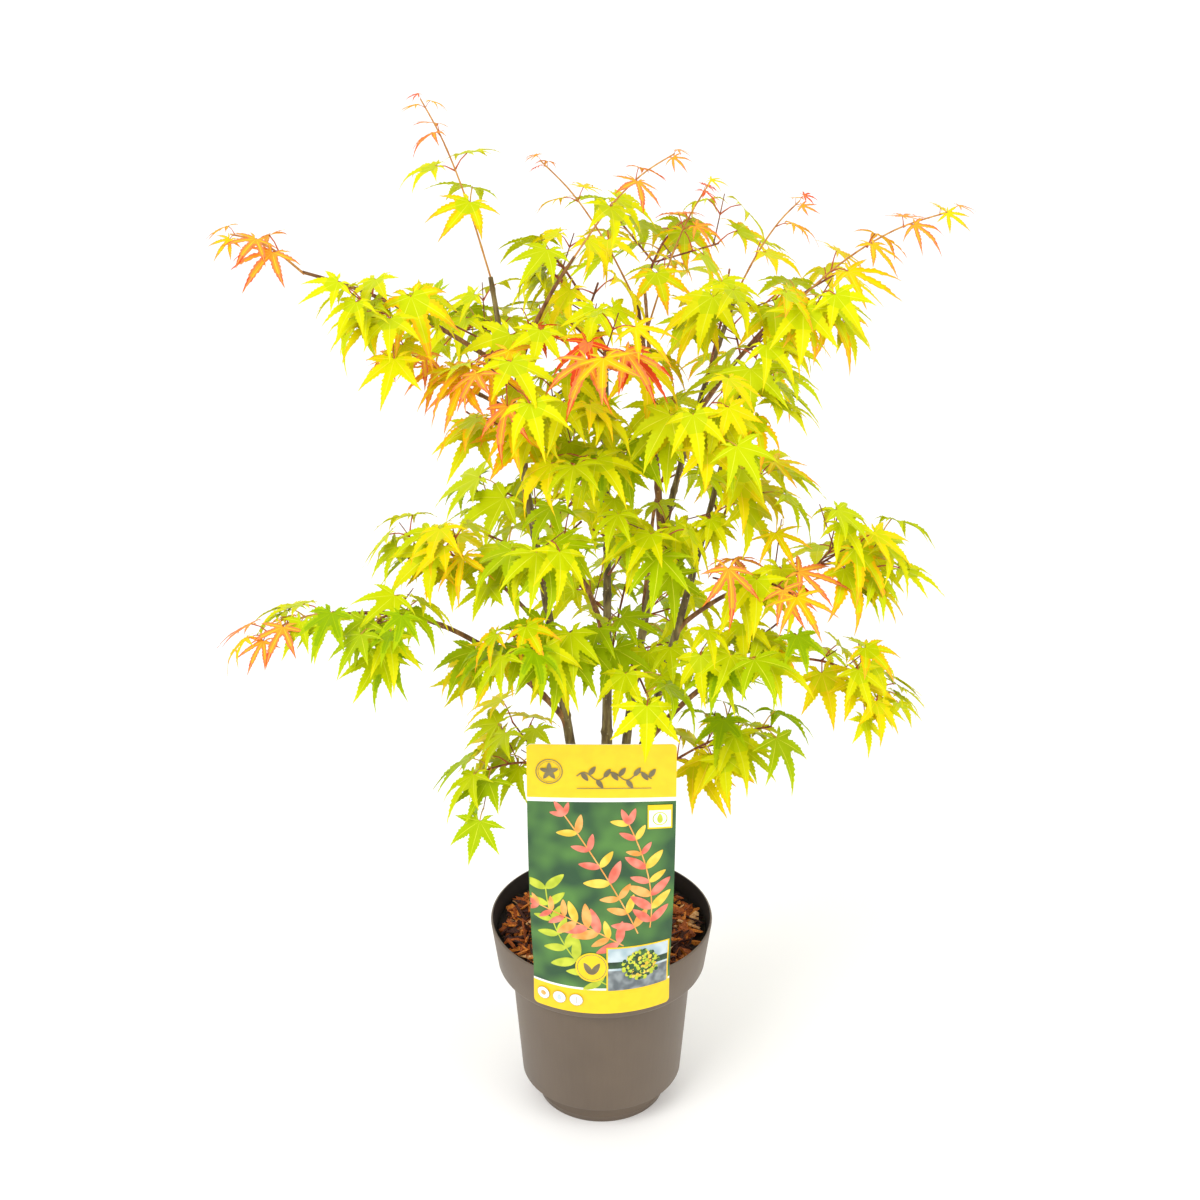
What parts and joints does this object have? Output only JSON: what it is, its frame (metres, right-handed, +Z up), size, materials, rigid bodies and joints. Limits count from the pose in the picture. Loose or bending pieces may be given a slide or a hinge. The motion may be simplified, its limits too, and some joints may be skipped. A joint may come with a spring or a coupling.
{
  "type": "potted japanese maple",
  "caption": "Young many-stemmed japanese maple with lime to coral palm-shaped leaves, in a round collared nursery pot with bark mulch and a printed plant card.",
  "frame": {"origin": "middle of the pot's flat underside", "axes": "+Z up along the trunk, -Y to the side that the plant card faces, +X to the right as seen from that side"},
  "size_m": [0.5773, 0.4458, 0.9052],
  "materials": {
    "pot_plastic": "satin moulded polypropylene",
    "bark_mulch": "loose rough bark chips",
    "printed_card": "gloss printed plastic card",
    "bark": "smooth olive-brown young bark",
    "lime_leaf": "soft satin leaf, lime green",
    "yellow_leaf": "soft satin leaf, greenish yellow",
    "gold_leaf": "soft satin leaf, golden",
    "coral_leaf": "soft satin young leaf, coral"
  },
  "bodies": {
    "root": {"bark_mulch": "bark_mulch", "bough_back_far": "bark", "bough_back_high": "bark", "bough_back_left": "bark", "bough_back_right": "bark", "bough_high_left": "bark", "bough_high_right": "bark", "bough_inner_left": "bark", "bough_low_left": "bark", "bough_low_right": "bark", "bough_mid_left": "bark", "bough_mid_right": "bark", "leaves_back_far": "lime_leaf", "leaves_back_high": "lime_leaf", "leaves_back_left": "lime_leaf", "leaves_back_low": "lime_leaf", "leaves_back_right": "lime_leaf", "leaves_back_right_high": "lime_leaf", "leaves_centre_front": "coral_leaf", "leaves_centre_middle": "lime_leaf", "leaves_far_high_left": "coral_leaf", "leaves_far_high_right": "coral_leaf", "leaves_far_low_left": "yellow_leaf", "leaves_far_low_right": "yellow_leaf", "leaves_foot_left": "lime_leaf", "leaves_foot_right": "lime_leaf", "leaves_front_middle": "lime_leaf", "leaves_high_centre": "lime_leaf", "leaves_high_left": "yellow_leaf", "leaves_high_right": "gold_leaf", "leaves_inner_left": "yellow_leaf", "leaves_left_front": "coral_leaf", "leaves_left_middle": "lime_leaf", "leaves_low_front": "lime_leaf", "leaves_low_inner_left": "lime_leaf", "leaves_low_left": "lime_leaf", "leaves_low_right": "lime_leaf", "leaves_mid_left": "gold_leaf", "leaves_mid_right": "yellow_leaf", "leaves_right_coral": "coral_leaf", "leaves_right_crown": "lime_leaf", "leaves_right_front": "lime_leaf", "leaves_right_top": "lime_leaf", "leaves_top_centre": "yellow_leaf", "leaves_top_fork": "gold_leaf", "leaves_top_left": "yellow_leaf", "leaves_top_middle": "gold_leaf", "leaves_top_right": "yellow_leaf", "leaves_waist_centre": "lime_leaf", "leaves_waist_left": "gold_leaf", "leaves_waist_right": "yellow_leaf", "plant_card": "printed_card", "pot": "pot_plastic", "stem_back": "bark", "stem_centre": "bark", "stem_fork": "bark", "stem_high": "bark", "stem_left": "bark", "stem_right": "bark", "trunk": "bark"}
  },
  "joints": []
}
